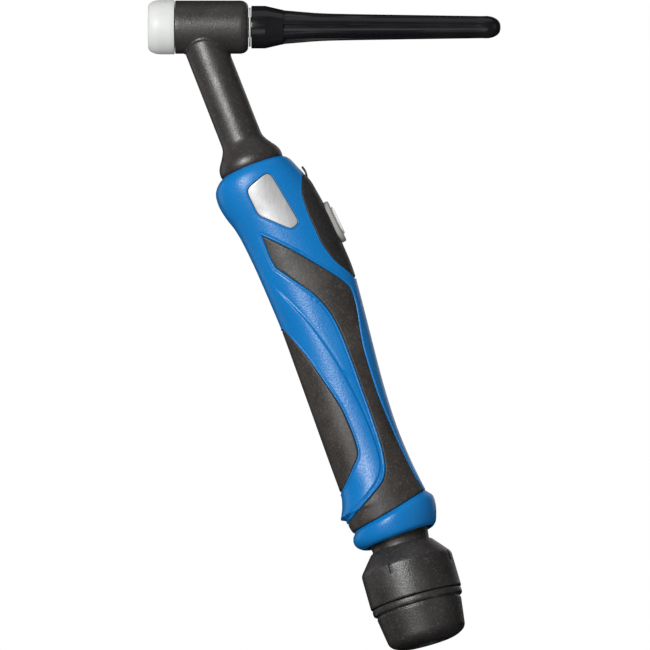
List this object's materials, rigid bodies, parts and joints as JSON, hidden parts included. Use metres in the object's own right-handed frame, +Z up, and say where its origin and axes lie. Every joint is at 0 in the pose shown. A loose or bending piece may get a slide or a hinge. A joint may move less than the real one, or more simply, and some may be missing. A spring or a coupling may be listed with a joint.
{
  "type": "tig torch",
  "caption": "Angled TIG welding torch with a long back cap, an ergonomic two-shell handle with soft inlays and a push key, and a swivelling cable boot.",
  "frame": {"origin": "centre of the grip, on the handle's axis, 165 mm down that axis from the head's axis", "axes": "+X along the head from the white insulator to the back cap, +Y across the handle (away from a viewer who sees the insulator at the left), +Z up in the pose it is held in"},
  "size_m": [0.162, 0.0428, 0.3002],
  "materials": {
    "ptfe_white": "satin",
    "head_rubber": "satin",
    "cap_phenolic": "glossy",
    "seal_pale": "matte",
    "handle_blue": "satin",
    "soft_black": "matte",
    "plate_silver": "satin",
    "boot_black": "satin",
    "bezel_grey": "satin",
    "key_grey": "satin",
    "switch_black": "matte",
    "nylon_white": "satin",
    "lead_red": "satin",
    "brass": "satin",
    "copper": "satin",
    "steel": "satin"
  },
  "bodies": {
    "torch_body": {"front_insulator": "ptfe_white", "head_cover": "head_rubber", "torch_core": "brass", "neck_tube": "copper", "power_stud": "brass", "handle_shell_left": "handle_blue", "handle_shell_right": "handle_blue", "side_grip_left": "soft_black", "side_grip_right": "soft_black", "palm_grip": "soft_black", "label_plate_left": "plate_silver", "label_plate_right": "plate_silver", "rear_collar": "handle_blue", "shell_screw_1": "steel", "shell_screw_2": "steel", "shell_screw_3": "steel", "switch_cover": "soft_black", "key_bezel": "bezel_grey", "microswitch": "switch_black", "switch_terminal_1": "brass", "switch_terminal_2": "brass", "switch_lead_1": "lead_red", "switch_lead_2": "switch_black", "lead_connector": "nylon_white"},
    "cap_carrier": {"cap_seal_ring": "seal_pale"},
    "back_cap": {"back_cap": "cap_phenolic"},
    "push_key": {"push_key": "key_grey", "key_spring": "steel"},
    "switch_plunger": {"switch_plunger": "key_grey"},
    "ball_seat": {"ball_seat": "nylon_white"},
    "ball_sleeve": {"ball_sleeve": "boot_black"},
    "cable_boot": {"boot_upper": "boot_black", "hose_cup": "boot_black"}
  },
  "joints": [
    {"name": "cap_travel", "type": "slide", "parent": "torch_body", "child": "cap_carrier", "axis": [1, 0, 0], "range_m": [0, 0.00875]},
    {"name": "cap_turn", "type": "hinge", "parent": "cap_carrier", "child": "back_cap", "pos_m": [-0.03487, 0, 0.15383], "axis": [1, 0, 0], "range_deg": [0, 2520]},
    {"name": "key_press", "type": "slide", "parent": "torch_body", "child": "push_key", "axis": [-0.9011, 0, -0.4337], "range_m": [0, 0.001], "stiffness_N_per_m": 1200, "springref_m": -0.0015, "deforming": ["key_spring"]},
    {"name": "plunger_press", "type": "slide", "parent": "torch_body", "child": "switch_plunger", "axis": [-0.9011, 0, -0.4337], "range_m": [0, 0.001]},
    {"name": "seat_turn", "type": "hinge", "parent": "torch_body", "child": "ball_seat", "pos_m": [0.03042, 0, -0.07455], "axis": [0.3616, 0, -0.9323], "continuous": true},
    {"name": "boot_tilt", "type": "hinge", "parent": "ball_seat", "child": "ball_sleeve", "pos_m": [0.03042, 0, -0.07455], "axis": [0, 1, 0], "range_deg": [-15.25, 4.75]},
    {"name": "boot_swivel", "type": "hinge", "parent": "ball_sleeve", "child": "cable_boot", "pos_m": [0.03042, 0, -0.07455], "axis": [0.2748, 0, -0.9615], "continuous": true}
  ],
  "couplings": [
    {"joint": "cap_travel", "follows": "cap_turn", "m_per_rad": 0.00019894},
    {"joint": "plunger_press", "follows": "key_press", "ratio": 1}
  ]
}
